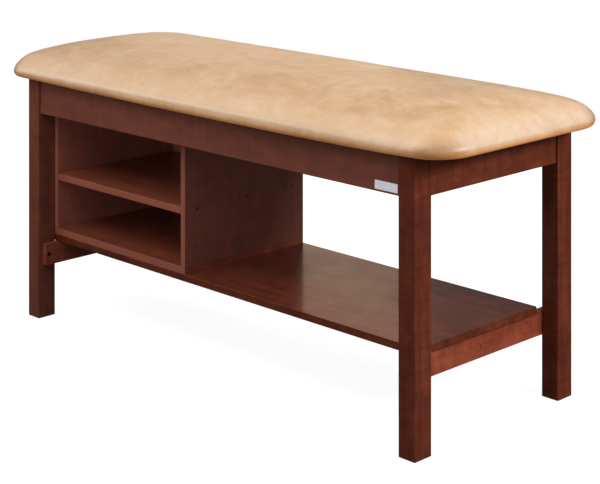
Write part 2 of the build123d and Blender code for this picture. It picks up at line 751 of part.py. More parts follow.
def vinyl_cover():
    """The cover, drawn tight over the padding and baseboard and turned under the baseboard's edge."""
    inset = 2 * VINYL_TURN_UNDER
    corner = TOP_CORNER_RADIUS - VINYL_TURN_UNDER
    outline = RectangleRounded(TOP_LENGTH - inset, TOP_WIDTH - inset, corner)
    opening = extrude(Pos(0, 0, FRAME_HEIGHT - 2 * VINYL) * outline, 4 * VINYL)
    return cushion(0) - cushion(VINYL) - opening - stapled(staple(CLEARANCE))


def blank_label():
    """A plain sticker at the right end of the front apron."""
    right = LEG_IN_X - LABEL_GAP_TO_LEG
    bottom = APRON_BOTTOM + LABEL_GAP_TO_EDGE
    body = board(
        (right - LABEL_LENGTH, right),
        (-APRON_OUT_Y - LABEL_THICKNESS, -APRON_OUT_Y),
        (bottom, bottom + LABEL_HEIGHT),
    )
    return fillet(body.edges().filter_by(Axis.Y), LABEL_CORNER_RADIUS)


def all_parts():
    parts = {f"leg_{name}": leg(sx, sy) for name, (sx, sy) in CORNERS.items()}
    parts["apron_front"] = long_apron(-1)
    parts["apron_rear"] = long_apron(1)
    for name, sx in ENDS.items():
        parts[f"apron_{name}"] = end_apron(sx)
        parts[f"end_stretcher_{name}"] = end_stretcher(sx)
    single = (
        apron_dowels,
        corner_blocks,
        corner_block_screws,
        hanger_bolts,
        hanger_washers,
        hanger_nuts,
        floor_glides,
        stretcher_bolts,
        stretcher_inserts,
        shelf_centre_rail,
        rail_screws,
        long_shelf,
        shelf_screws,
        storage_bottom,
        storage_left_side,
        storage_divider,
        storage_mid_shelf,
        storage_back_panel,
        storage_top,
        storage_carcase_screws,
        top_brackets,
        top_bracket_screws,
        top_baseboard,
        foam_pad,
        vinyl_cover,
        cover_staples,
        blank_label,
    )
    parts.update({make.__name__: make() for make in single})
    parts["mid_shelf_screws"] = group(placed(screw(CARCASE_SCREW), mid_shelf_screws()))
    parts["storage_fixing_screws"] = group(placed(screw(FIXING_SCREW), storage_fixing_screws()))
    parts["back_panel_screws"] = group(placed(screw(BACK_SCREW, SMALL_SHANK, SMALL_HEAD), back_screws()))
    return parts


os.makedirs("parts", exist_ok=True)
for node, shape in all_parts().items():
    export_step(shape, f"parts/{node}.step")
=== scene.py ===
"""Looks for the examination table: stained wood, a soft top, fasteners, studio light and the camera.

Lengths are in metres, in the CAD frame: the origin is on the floor under the table's middle, +X runs along
its length with the storage unit at -X, -Y faces the open front of that unit, and +Z is up.
"""

import json
import math

import bmesh
import bpy
import numpy as np
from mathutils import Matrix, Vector, noise


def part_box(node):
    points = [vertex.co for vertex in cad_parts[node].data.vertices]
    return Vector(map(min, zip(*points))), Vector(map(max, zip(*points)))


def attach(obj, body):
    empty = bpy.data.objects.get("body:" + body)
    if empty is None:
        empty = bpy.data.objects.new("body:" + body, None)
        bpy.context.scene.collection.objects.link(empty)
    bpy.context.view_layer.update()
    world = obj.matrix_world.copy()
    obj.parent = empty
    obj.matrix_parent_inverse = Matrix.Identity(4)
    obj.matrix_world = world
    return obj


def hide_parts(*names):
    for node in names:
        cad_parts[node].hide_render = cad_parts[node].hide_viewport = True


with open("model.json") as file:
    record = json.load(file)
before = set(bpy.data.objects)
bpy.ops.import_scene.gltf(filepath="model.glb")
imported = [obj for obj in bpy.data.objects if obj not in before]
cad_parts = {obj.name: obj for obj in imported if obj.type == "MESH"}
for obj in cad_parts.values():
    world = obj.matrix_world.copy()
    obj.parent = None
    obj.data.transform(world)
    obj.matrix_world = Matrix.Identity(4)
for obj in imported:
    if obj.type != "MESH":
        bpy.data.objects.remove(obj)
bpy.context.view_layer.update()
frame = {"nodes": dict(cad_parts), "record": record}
NODES = frame["nodes"]

# ---- Shape of the soft top ----
PLAN_RADIUS = 0.102  # the plan's corners
ROLL = 0.160  # how far in from the edge the top is still rising
ROLL_RISE = 0.0664
ROLL_POWER = 1.8
SHOULDER = 0.0195  # height of the top's outer ring above the baseboard's underside
BELOW_SHOULDER = 0.0172  # height of the first ring under it
CROWN = 0.016  # further rise from the roll to the middle
CROWN_END_POWER = 6
SETTLE = 0.0035  # how far the left end stands above the middle, and the right end below it
LOWER_RADIUS = 0.016
LOWER_TURN = (90, 72, 54, 36, 18, 0)  # degrees round the lower edge, down to flat
UNDER_INSETS = (0.0192, 0.0224, 0.0255)  # rings under the board, in to the cover's cut edge
SAG = 0.006  # the long sides' lower edge hangs lower in its middle
SAG_FADE = 0.008
LEAN = 0.005  # the long sides lean to the front in their middle
LEFT_LEAN_POWER = 2  # the powers by which lean and sag fade towards the ends
LEFT_SAG_POWER = 1.5
RIGHT_POWER = 4
BOARD_CLEAR = 0.021  # the rear side leans in only above this height, over the board
LEAN_IN_OVER = 0.03
THICKNESS = 0.0012  # of the vinyl
FOAM_GAP = 0.0002  # between the vinyl and the padding

# ---- Mesh of the soft top ----
ROLL_RINGS = 12
LONG_CELLS = 152
SHORT_CELLS = 50
SOFTEN_PASSES = 14
SOFTEN_FROM = 0.045  # inset at which the heights start to be evened out
SOFTEN_OVER = 0.04

# ---- Unevenness and pleats of the cover ----
WAVES = ((5.0, 0.0, 0.0006), (17.0, 5.0, 0.00025))  # (waves to a metre, offset, height)
WAVES_ABOVE = 0.018
PLEAT_TOP = 0.020  # height at which the pleats end
PLEAT_FADE = 0.014
PLEATS_ROUND = 44  # pleats to a full turn
PLEAT_LIFT = 0.0008
PLEAT_SWELL = 0.0010

# ---- Simulation of the cover ----
SWELL = 0.0045  # how much smaller than drawn the cloth starts
MOST_MOVE = 0.0022  # how far it may end up from the drawn shape
PINNED_BELOW = 0.016
FREE_OVER = 0.02
PRESSURE = 4.0
LAST_FRAME = 20


# ==== Materials ====


class Graph:
    """A material's node tree. Calling it adds a node: inputs are given as a dict of values or sockets."""

    def __init__(self, name):
        self.material = bpy.data.materials.new(name)
        self.material.use_nodes = True
        self.tree = self.material.node_tree
        self.tree.nodes.clear()

    def __call__(self, kind, inputs=None, out=0, **settings):
        node = self.tree.nodes.new("ShaderNode" + kind)
        for key, value in settings.items():
            setattr(node, key, value)
        for key, value in (inputs or {}).items():
            if isinstance(value, bpy.types.NodeSocket):
                self.tree.links.new(value, node.inputs[key])
            else:
                node.inputs[key].default_value = value
        return node.outputs[out]

    def math(self, operation, a, b=0.0):
        return self("Math", {0: a, 1: b}, operation=operation)

    def times(self, a, b):
        return self.math("MULTIPLY", a, b)

    def sum(self, *weighted):
        """The sum of (weight, value) pairs."""
        total = self.times(weighted[0][1], weighted[0][0])
        for weight, value in weighted[1:]:
            total = self.math("ADD", total, self.times(value, weight))
        return total

    def scaled(self, vector, scale, location=(0, 0, 0), rotation=(0, 0, 0)):
        return self("Mapping", {"Vector": vector, "Scale": scale, "Location": location, "Rotation": rotation})

    def noise(self, vector, scale, detail=3.0, roughness=0.5, distortion=0.0):
        inputs = {"Vector": vector, "Scale": scale, "Detail": detail, "Roughness": roughness}
        inputs["Distortion"] = distortion
        return self("TexNoise", inputs, noise_dimensions="3D")

    def ramp(self, value, stops):
        socket = self("ValToRGB", {"Fac": value})
        ramp = socket.node.color_ramp
        while len(ramp.elements) < len(stops):
            ramp.elements.new(0.5)
        for element, (position, colour) in zip(ramp.elements, stops):
            element.position = position
            element.color = (*colour, 1.0)
        return socket

    def remap(self, value, low, high, new_low, new_high):
        inputs = {"Value": value, "From Min": low, "From Max": high, "To Min": new_low, "To Max": new_high}
        return self("MapRange", inputs)

    def mix(self, factor, a, b, blend="MIX"):
        node = self.tree.nodes.new("ShaderNodeMix")
        node.data_type = "RGBA"
        node.blend_type = blend
        for index, value in ((0, factor), (6, a), (7, b)):
            if isinstance(value, bpy.types.NodeSocket):
                self.tree.links.new(value, node.inputs[index])
            else:
                node.inputs[index].default_value = value if index == 0 else (*value, 1.0)
        return node.outputs[2]

    def bump(self, height, strength, distance, normal=None):
        inputs = {"Height": height, "Strength": strength, "Distance": distance}
        if normal is not None:
            inputs["Normal"] = normal
        return self("Bump", inputs)

    def finish(self, **inputs):
        """Adds the surface shader; underscores in the names stand for spaces."""
        shader = self("BsdfPrincipled", {key.replace("_", " "): value for key, value in inputs.items()})
        output = self.tree.nodes.new("ShaderNodeOutputMaterial")
        self.tree.links.new(shader, output.inputs["Surface"])
        return self.material


TURN_TO_GRAIN = {"X": (0, 0, 0), "Y": (0, 0, math.radians(-90)), "Z": (0, math.radians(90), 0)}

STAINS = ((0.098, 0.0195, 0.0090), (0.134, 0.0285, 0.0135), (0.172, 0.0410, 0.0200))
PORE = (0.03, 0.007, 0.004)
# Tint of a painted neutral reflection mixed over the stain.
PAINTED_REFLECTION_TINT = (0.27, 0.13, 0.10)
# Tint of the painted front light on faces that look to the front.
FRONT_LIGHT_TINT = (0.36, 0.120, 0.078)
LACQUER = 0.4

VINYLS = ((0.560, 0.315, 0.145), (0.660, 0.415, 0.225), (0.740, 0.505, 0.315))
# Pale tint of the painted sheen on the rolls.
ROLL_SHEEN_TINT = (0.86, 0.70, 0.52)
# Grey tint of the painted highlight on the right end.
RIGHT_HIGHLIGHT_TINT = (0.55, 0.50, 0.45)
# Pale tint of the painted highlight on the front.
FRONT_HIGHLIGHT_TINT = (0.92, 0.66, 0.45)
# Painted shade in the corners.
PAINTED_CORNER_SHADE = (0.71, 0.60, 0.48)
# Painted shade and warm bounce light on the underside.
PAINTED_UNDERSIDE_SHADE = (1.30, 0.84, 0.46)


def stained_wood(name, axis, seed, tone, painted_reflection, painted_front_light, banding):
    """Red-brown stained wood under gloss lacquer, with its grain along one axis.

    tone scales the stain; the second share mixes in a painted neutral reflection over it, and the third
    lightens faces that look to the front as painted front light; banding is the share of growth rings in the
    figure."""
    g = Graph(name)
    where = g("TexCoord", out="Object")
    along = g.scaled(where, (1, 1, 1), rotation=TURN_TO_GRAIN[axis])
    along = g.scaled(along, (1, 1, 1), location=(3.7 * seed, 1.3 * seed, 0.7 * seed))
    figure = g.noise(g.scaled(along, (0.16, 1, 1)), 11.0, 4.0, 0.55, 0.7)
    bands = g(
        "TexWave",
        {"Vector": g.scaled(along, (0.10, 1, 1)), "Scale": 9.0, "Distortion": 9.0, "Detail": 3.0,
         "Detail Scale": 1.6, "Detail Roughness": 0.6},
        out="Fac", wave_type="BANDS", bands_direction="Y", wave_profile="SIN",
    )
    fibres = g.noise(g.scaled(along, (0.022, 1, 1)), 520.0, 3.0, 0.65)
    pores = g.noise(g.scaled(along, (0.05, 1, 1)), 1300.0, 1.0, 0.5)
    value = g.sum((0.72 - banding, figure), (banding, bands), (0.28, fibres))
    dark, middle, light = (tuple(tone * channel for channel in stain) for stain in STAINS)
    colour = g.ramp(value, [(0.30, dark), (0.50, middle), (0.70, light)])
    blotches = g.noise(g.scaled(along, (0.45, 1, 1)), 30.0, 3.0, 0.6, 0.5)
    curl = g.noise(g.scaled(along, (1, 0.12, 0.12)), 75.0, 2.0, 0.6, 0.3)
    blotches = g.remap(blotches, 0.3, 0.7, 0.78, 1.22)
    curl = g.remap(curl, 0.3, 0.7, 0.86, 1.14)
    colour = g.mix(1.0, colour, g.times(blotches, curl), "MULTIPLY")
    # Painted reflection: a neutral tint mixed over the stain, standing in for light reflected by the lacquer.
    colour = g.mix(painted_reflection, colour, PAINTED_REFLECTION_TINT)
    pore_mask = g.remap(pores, 0.60, 0.74, 0.0, 0.4)
    colour = g.mix(pore_mask, colour, PORE)
    # Painted front light: faces that look to the front are lightened towards a pale tint.
    if painted_front_light:
        normal = g("NewGeometry", out="Normal")
        facing = g("VectorMath", {0: normal, 1: (0, -1, 0)}, out="Value", operation="DOT_PRODUCT")
        colour = g.mix(g.remap(facing, 0.4, 0.95, 0.0, painted_front_light), colour, FRONT_LIGHT_TINT)
    broad = g.noise(along, 7.0, 2.0)
    roughness = g.remap(g.sum((1.0, broad), (0.5, fibres)), 0.4, 1.1, 0.27, 0.42)
    coat_roughness = g.remap(broad, 0.3, 0.7, 0.10, 0.17)
    normal = g.bump(fibres, 0.16, 0.0003)
    normal = g.bump(broad, 0.10, 0.0012, normal)
    return g.finish(
        Base_Color=colour, Roughness=roughness, Normal=normal, Specular_IOR_Level=0.3 * LACQUER,
        Coat_Weight=LACQUER, Coat_Roughness=coat_roughness, Coat_IOR=1.5,
    )


def bare_wood(name, axis, seed, light, dark):
    """Unfinished wood with grain along one axis."""
    g = Graph(name)
    along = g.scaled(g("TexCoord", out="Object"), (1, 1, 1), rotation=TURN_TO_GRAIN[axis])
    along = g.scaled(along, (1, 1, 1), location=(2.1 * seed, seed, 0.4 * seed))
    figure = g.noise(g.scaled(along, (0.12, 1, 1)), 26.0, 4.0, 0.6, 1.1)
    fibres = g.noise(g.scaled(along, (0.03, 1, 1)), 480.0, 3.0, 0.6)
    colour = g.ramp(g.sum((0.6, figure), (0.4, fibres)), [(0.34, dark), (0.66, light)])
    return g, colour, fibres


def raw_wood():
    g, colour, fibres = bare_wood("raw_wood", "X", 2, (0.66, 0.47, 0.29), (0.42, 0.26, 0.14))
    roughness = g.remap(fibres, 0.3, 0.7, 0.55, 0.75)
    return g.finish(Base_Color=colour, Roughness=roughness, Normal=g.bump(fibres, 0.3, 0.0004))


def plywood():
    """A veneered panel whose edges show its plies."""
    g, colour, fibres = bare_wood("plywood", "X", 5, (0.63, 0.46, 0.29), (0.45, 0.29, 0.16))
    height = g("SeparateXYZ", {0: g("TexCoord", out="Object")}, out="Z")
    level = g("CombineXYZ", {"Z": height})
    plies = g("TexWave", {"Vector": level, "Scale": 62.0}, out="Fac", bands_direction="Z")
    up = g("SeparateXYZ", {0: g("NewGeometry", out="Normal")}, out="Z")
    side = g.remap(g.math("ABSOLUTE", up), 0.2, 0.8, 0.75, 0.0)
    colour = g.mix(g.times(side, plies), colour, (0.25, 0.14, 0.07))
    roughness = g.remap(fibres, 0.3, 0.7, 0.6, 0.8)
    return g.finish(Base_Color=colour, Roughness=roughness, Normal=g.bump(fibres, 0.3, 0.0004))


def tan_vinyl():
    """Soft tan vinyl: cloudy mottling and a fine pebbled grain, with painted light: the rolls paled as
    painted highlights, the corners darkened as painted shade, and the underside browned as painted shade and
    warm bounce light.
    """
    g = Graph("tan_vinyl")
    where = g("TexCoord", out="Object")
    drawn = g.scaled(where, (0.75, 1.0, 1.0), rotation=(0, 0, math.radians(14)))
    clouds = g.noise(drawn, 9.0, 6.0, 0.62, 0.6)
    shifted = g.scaled(where, (0.8, 1.0, 1.0), location=(4.0, 1.0, 2.0))
    patches = g.noise(shifted, 34.0, 5.0, 0.65, 0.5)
    specks = g.noise(where, 210.0, 3.0, 0.7)
    value = g.sum((0.48, clouds), (0.34, patches), (0.18, specks))
    colour = g.ramp(value, [(0.36, VINYLS[0]), (0.50, VINYLS[1]), (0.62, VINYLS[2])])
    # Painted light on the vinyl, by the way each surface faces.
    colour = vinyl_painted_light(g, colour, patches)
    cells = g("TexVoronoi", {"Vector": where, "Scale": 720.0, "Randomness": 1.0}, out="Distance")
    folds = g.noise(where, 46.0, 3.0, 0.55, 0.3)
    pebble = g.sum((0.8, cells), (0.5, g.noise(where, 340.0, 2.0)))
    normal = g.bump(pebble, 0.22, 0.00035)
    normal = g.bump(folds, 0.16, 0.0016, normal)
    roughness = g.remap(g.math("ADD", patches, pebble), 0.5, 1.6, 0.28, 0.42)
    return g.finish(
        Base_Color=colour, Roughness=roughness, Normal=normal, Specular_IOR_Level=0.45,
        Sheen_Weight=0.06, Sheen_Roughness=0.5,
    )


def vinyl_painted_light(g, colour, patches):
    """Painted light by the way a surface faces: painted highlights paling the rolls and the front and greying
    the right end, painted shade darkening the corners, and painted shade and warm bounce light browning the
    underside.
    """
    normal = g("NewGeometry", out="Normal")
    right, back, up = (g("SeparateXYZ", {0: normal}, out=axis) for axis in "XYZ")
    # Painted shade: surfaces that face diagonally out at the plan's corners are darkened.
    corner = g.remap(g.math("ABSOLUTE", g.times(right, back)), 0.06, 0.34, 0.0, 1.0)
    off_corner = g.math("SUBTRACT", 1.0, corner)
    above = g.remap(up, -0.1, 0.3, 0.0, 1.0)
    # Painted sheen: the rolls, tilted between flat and upright, are paled in patches.
    roll_sheen = g.ramp(up, [(0.05, (0, 0, 0)), (0.38, (1, 1, 1)), (0.84, (0.4, 0.4, 0.4)), (0.97, (0, 0, 0))])
    roll_sheen = g.times(g.times(roll_sheen, g.remap(patches, 0.3, 0.7, 0.05, 0.17)), off_corner)
    # Painted highlight: upward surfaces that face the right end are greyed pale.
    right_highlight = g.times(g.remap(right, 0.25, 0.75, 0.0, 0.30), above)
    # Painted highlight: upward surfaces that face the front are paled.
    front_highlight = g.times(g.times(g.remap(back, -0.25, -0.75, 0.0, 0.42), above), off_corner)
    # Painted shade and warm bounce light: surfaces that face down are tinted a darker, redder brown.
    under = g.remap(up, 0.10, -0.45, 0.0, 0.9)
    for amount, pale in ((roll_sheen, ROLL_SHEEN_TINT), (right_highlight, RIGHT_HIGHLIGHT_TINT), (front_highlight, FRONT_HIGHLIGHT_TINT)):
        colour = g.mix(amount, colour, pale)
    colour = g.mix(corner, colour, PAINTED_CORNER_SHADE, "MULTIPLY")
    return g.mix(under, colour, PAINTED_UNDERSIDE_SHADE, "MULTIPLY")


def foam():
    """Open-cell foam, a little yellowed in clouds."""
    g = Graph("foam")
    where = g("TexCoord", out="Object")
    cells = g("TexVoronoi", {"Vector": where, "Scale": 520.0}, out="Distance")
    clouds = g.noise(where, 18.0, 3.0)
    stops = [(0.3, (0.74, 0.66, 0.44)), (0.6, (0.88, 0.82, 0.62))]
    colour = g.ramp(g.sum((0.5, cells), (0.5, clouds)), stops)
    roughness = g.remap(clouds, 0.3, 0.7, 0.85, 0.98)
    return g.finish(Base_Color=colour, Roughness=roughness, Normal=g.bump(cells, 0.6, 0.0012))


def metal(name, colour, dark, roughness, metallic=1.0):
    """Plated or blackened steel with faint blotches and fine scratches."""
    g = Graph(name)
    where = g("TexCoord", out="Object")
    blotches = g.noise(where, 130.0, 4.0, 0.6)
    scratches = g.noise(g.scaled(where, (1.0, 0.06, 1.0)), 2600.0, 2.0)
    shade = g.mix(g.remap(blotches, 0.35, 0.65, 0.0, 1.0), colour, dark)
    rough = g.remap(g.math("ADD", blotches, scratches), 0.7, 1.3, roughness - 0.08, roughness + 0.12)
    normal = g.bump(scratches, 0.1, 0.0001)
    return g.finish(Base_Color=shade, Metallic=metallic, Roughness=rough, Normal=normal)


def glide_plastic():
    """Brown plastic, faintly mottled."""
    g = Graph("glide_plastic")
    mottle = g.noise(g("TexCoord", out="Object"), 240.0, 3.0)
    colour = g.ramp(mottle, [(0.35, (0.10, 0.06, 0.04)), (0.65, (0.18, 0.115, 0.08))])
    roughness = g.remap(mottle, 0.3, 0.7, 0.42, 0.6)
    return g.finish(Base_Color=colour, Roughness=roughness, Normal=g.bump(mottle, 0.2, 0.0002))


def label_film():
    """A blank satin film with a faint paper mottle."""
    g = Graph("label_film")
    where = g("TexCoord", out="Object")
    mottle = g.noise(where, 900.0, 2.0)
    clouds = g.noise(where, 60.0, 2.0)
    stops = [(0.3, (0.80, 0.82, 0.90)), (0.7, (0.90, 0.91, 0.97))]
    colour = g.ramp(g.sum((0.4, mottle), (0.6, clouds)), stops)
    roughness = g.remap(clouds, 0.3, 0.7, 0.3, 0.42)
    return g.finish(Base_Color=colour, Roughness=roughness, Normal=g.bump(mottle, 0.05, 0.0001))


# ==== The soft top ====


def share(value):
    """The value, held between 0 and 1."""
    return min(1.0, max(0.0, value))


def edge_distance(x, y, half_x, half_y):
    """How far a point is inside the rounded plan outline."""
    to_end = half_x - abs(x)
    to_side = half_y - abs(y)
    if to_end < PLAN_RADIUS and to_side < PLAN_RADIUS:
        return PLAN_RADIUS - math.hypot(PLAN_RADIUS - to_end, PLAN_RADIUS - to_side)
    return min(to_end, to_side)


def side_path(half_side, half_next, radius, cells):
    """Even steps along one side of a rounded rectangle, between the middles of its two corner arcs.

    Gives (along, out) pairs: along the side, and out from the middle of the rectangle towards it."""
    eighth = radius * math.pi / 4
    straight = half_side - radius
    total = 2 * (straight + eighth)
    points = []
    for i in range(cells):
        s = total * i / cells - total / 2
        turn = max(0.0, abs(s) - straight) / radius
        along = min(abs(s), straight) + radius * math.sin(turn)
        points.append((math.copysign(along, s), half_next - radius + radius * math.cos(turn)))
    return points


def ring(half_x, half_y, radius, cells_x, cells_y):
    """Plan points round a rounded rectangle, from its front left corner towards +X."""
    radius = max(min(radius, half_x, half_y), 1e-5)
    front = [(a, -b) for a, b in side_path(half_x, half_y, radius, cells_x)]
    right = [(b, a) for a, b in side_path(half_y, half_x, radius, cells_y)]
    back = [(-a, b) for a, b in side_path(half_x, half_y, radius, cells_x)]
    left = [(-b, -a) for a, b in side_path(half_y, half_x, radius, cells_y)]
    return front + right + back + left


def ring_indices(k, cells_x, cells_y):
    """Grid places of ring k, in the order ring() gives its points."""
    right = cells_x - k
    back = cells_y - k
    front_row = [(i, k) for i in range(k, right)]
    right_row = [(right, j) for j in range(k, back)]
    back_row = [(i, back) for i in range(right, k, -1)]
    left_row = [(k, j) for j in range(back, k, -1)]
    return front_row + right_row + back_row + left_row


def roll_height(inset, along):
    """Height gained from the shoulder inwards; along runs from -1 at the left end to 1 at the right end."""
    u = max(0.0, 1 - inset / ROLL)
    return (ROLL_RISE - SETTLE * along) * ((1 - u**ROLL_POWER) ** (1 / ROLL_POWER))


def top_insets(half_y):
    """The inset of each ring of the top's grid, close together where the surface turns over."""
    rows = SHORT_CELLS // 2
    insets = [ROLL * (k / ROLL_RINGS) ** 2 for k in range(ROLL_RINGS + 1)]
    left = rows - ROLL_RINGS
    insets += [ROLL + (half_y - ROLL) * k / left for k in range(1, left + 1)]
    return insets


def top_grid(half_x, half_y, base):
    """Vertices of the top surface as {grid place: point}."""
    points = {}
    for k, inset in enumerate(top_insets(half_y)):
        cells_x = LONG_CELLS - 2 * k
        cells_y = SHORT_CELLS - 2 * k
        if cells_y == 0:
            reach = half_x - inset
            for i in range(cells_x + 1):
                points[(k + i, k)] = [-reach + 2 * reach * i / cells_x, 0.0, 0.0]
            continue
        plan = ring(half_x - inset, half_y - inset, PLAN_RADIUS - inset, cells_x, cells_y)
        for place, (x, y) in zip(ring_indices(k, LONG_CELLS, SHORT_CELLS), plan):
            points[place] = [x, y, 0.0]
    for point in points.values():
        x, y = point[:2]
        inset = max(0.0, edge_distance(x, y, half_x, half_y))
        crown = CROWN * (1 - (y / half_y) ** 2) * (1 - (abs(x) / half_x) ** CROWN_END_POWER)
        point[2] = base + SHOULDER + roll_height(inset, x / half_x) + crown
    soften(points, half_x, half_y)
    return points


def soften(points, half_x, half_y):
    """Evens out the heights where the roll's contours meet at the corners."""
    z = np.zeros((LONG_CELLS + 1, SHORT_CELLS + 1))
    weight = np.zeros_like(z)
    for (i, j), (x, y, height) in points.items():
        z[i, j] = height
        inset = edge_distance(x, y, half_x, half_y)
        weight[i, j] = share((inset - SOFTEN_FROM) / SOFTEN_OVER)
    for _ in range(SOFTEN_PASSES):
        mean = z.copy()
        mean[1:-1, 1:-1] = (z[2:, 1:-1] + z[:-2, 1:-1] + z[1:-1, 2:] + z[1:-1, :-2]) / 4
        z += (mean - z) * weight
    for (i, j), point in points.items():
        point[2] = z[i, j]


def lower_rings(base):
    """(inset, height) of each ring from the shoulder down the side and under to the cover's cut edge."""
    rings = [(0.0, base + BELOW_SHOULDER)]
    lowest = base - THICKNESS
    for degrees in LOWER_TURN:
        turn = math.radians(degrees)
        rings.append((LOWER_RADIUS * (1 - math.sin(turn)), lowest + LOWER_RADIUS * (1 - math.cos(turn))))
    rings += [(inset, lowest) for inset in UNDER_INSETS]
    return rings


def corner_turn(x, y, half_x, half_y):
    """How far into a corner a point is, 0 along the sides and 1 at a corner's middle, and its angle there."""
    dx = abs(x) - (half_x - PLAN_RADIUS)
    dy = abs(y) - (half_y - PLAN_RADIUS)
    if dx <= 0 or dy <= 0:
        return 0.0, 0.0
    angle = math.atan2(dy, dx)
    return math.sin(2 * angle), angle


def side_middle(x, y, half_x, half_y):
    """1 at the middle of a long side, falling to 0 before the corners, sooner on the left; 0 at the ends."""
    if half_y - abs(y) > 2 * UNDER_INSETS[-1]:
        return 0.0
    along = abs(x) / (half_x - PLAN_RADIUS)
    return max(0.0, 1 - along ** (LEFT_SAG_POWER if x < 0 else RIGHT_POWER))


def sheet(half_x, half_y, base):
    """The cover as one sheet: its points and faces, how many points its top has, and the top's outer ring."""
    grid = top_grid(half_x, half_y, base)
    index = {}
    points = []
    for place in sorted(grid):
        index[place] = len(points)
        points.append(tuple(grid[place]))
    faces = [
        (index[(i, j)], index[(i + 1, j)], index[(i + 1, j + 1)], index[(i, j + 1)])
        for i in range(LONG_CELLS)
        for j in range(SHORT_CELLS)
    ]
    upper = [index[place] for place in ring_indices(0, LONG_CELLS, SHORT_CELLS)]
    top_count = len(points)
    rim = list(upper)
    for inset, z in lower_rings(base):
        plan = ring(half_x - inset, half_y - inset, PLAN_RADIUS - inset, LONG_CELLS, SHORT_CELLS)
        hang = SAG * share((UNDER_INSETS[-1] - inset) / SAG_FADE)
        lower = []
        for x, y in plan:
            lower.append(len(points))
            points.append((x, y, z - hang * side_middle(x, y, half_x, half_y)))
        for a in range(len(upper)):
            b = (a + 1) % len(upper)
            faces.append((upper[a], lower[a], lower[b], upper[b]))
        upper = lower
    return np.array(points), faces, top_count, rim


def mesh_object(name, points, faces):
    """A smooth-shaded mesh object in the scene, with its normals outward."""
    mesh = bpy.data.meshes.new(name)
    mesh.from_pydata([tuple(p) for p in points], [], faces)
    made = bmesh.new()
    made.from_mesh(mesh)
    bmesh.ops.recalc_face_normals(made, faces=made.faces)
    made.to_mesh(mesh)
    made.free()
    mesh.polygons.foreach_set("use_smooth", [True] * len(mesh.polygons))
    obj = bpy.data.objects.new(name, mesh)
    bpy.context.scene.collection.objects.link(obj)
    return obj


def normals_of(points, faces):
    """Outward vertex normals of the sheet."""
    result = np.zeros_like(points)
    corners = np.array(faces)
    a, b, c, d = (points[corners[:, i]] for i in range(4))
    face_normals = np.cross(c - a, d - b)
    for i in range(4):
        np.add.at(result, corners[:, i], face_normals)
    lengths = np.linalg.norm(result, axis=1, keepdims=True)
    return result / np.maximum(lengths, 1e-12)


def inflate(points, faces, free):
    """Runs the cover as cloth over an even pressure, from a slightly smaller shape.

    The result stays within a cap of the shape that was drawn."""
    normals = normals_of(points, faces)
    start = points - normals * (SWELL * free)[:, None]
    obj = mesh_object("cover_cloth", start, faces)
    pins = obj.vertex_groups.new(name="pins")
    for i, amount in enumerate(free):
        pins.add([i], float(1.0 - amount), "REPLACE")
    cloth = obj.modifiers.new("cloth", "CLOTH")
    settings = cloth.settings
    settings.quality = 6
    settings.mass = 0.4
    settings.tension_stiffness = 40
    settings.compression_stiffness = 40
    settings.shear_stiffness = 20
    settings.bending_stiffness = 2.0
    settings.vertex_group_mass = "pins"
    settings.pin_stiffness = 1.0
    settings.use_pressure = True
    settings.uniform_pressure_force = PRESSURE
    settings.effector_weights.gravity = 0.0
    cloth.collision_settings.use_collision = False
    cloth.point_cache.frame_start = 1
    cloth.point_cache.frame_end = LAST_FRAME
    scene = bpy.context.scene
    for number in range(1, LAST_FRAME + 1):
        scene.frame_set(number)
    depsgraph = bpy.context.evaluated_depsgraph_get()
    settled = obj.evaluated_get(depsgraph).to_mesh()
    result = np.array([v.co for v in settled.vertices])
    bpy.data.objects.remove(obj)
    scene.frame_set(1)
    move = result - points
    length = np.linalg.norm(move, axis=1)
    factor = np.minimum(1.0, MOST_MOVE * free / np.maximum(length, 1e-9))
    return points + move * factor[:, None]


def dressed(points, faces, half_x, half_y, base):
    """Adds the small unevenness of stretched vinyl, the lean, and the pleats that turn under the corners."""
    normals = normals_of(points, faces)
    result = points.copy()
    for i, (x, y, z) in enumerate(points):
        height = z - base
        wave = 0.0
        for often, offset, size in WAVES:
            wave += size * noise.noise(Vector((x, y, z)) * often + Vector((offset, 0, 0)))
        result[i] += normals[i] * wave * share((height - WAVES_ABOVE) / FREE_OVER)
        lean = LEAN * (1 - abs(x / half_x) ** (LEFT_LEAN_POWER if x < 0 else RIGHT_POWER)) * (y / half_y) ** 2
        if y > 0:
            lean *= share((height - BOARD_CLEAR) / LEAN_IN_OVER)
        result[i][1] -= lean
        depth, angle = corner_turn(x, y, half_x, half_y)
        if depth > 0 and height < PLEAT_TOP:
            low = share((PLEAT_TOP - height) / PLEAT_FADE)
            fold = depth**0.6 * low * (0.5 + 0.5 * math.cos(angle * PLEATS_ROUND))
            result[i][2] += fold * PLEAT_LIFT
            result[i] += normals[i] * fold * PLEAT_SWELL
    return result


def foam_solid(points, faces, top_count, rim, floor):
    """The padding: the top's surface drawn in under the cover, closed flat on the baseboard."""
    normals = normals_of(points, faces)
    inner = points - normals * (THICKNESS + FOAM_GAP)
    top = inner[:top_count]
    under = top.copy()
    under[:, 2] = floor
    corners = [face for face in faces if max(face) < top_count]
    shifted = [tuple(v + top_count for v in reversed(face)) for face in corners]
    sides = []
    for a in range(len(rim)):
        b = (a + 1) % len(rim)
        sides.append((rim[a], rim[a] + top_count, rim[b] + top_count, rim[b]))
    return mesh_object("cushion_foam", np.vstack([top, under]), corners + shifted + sides)


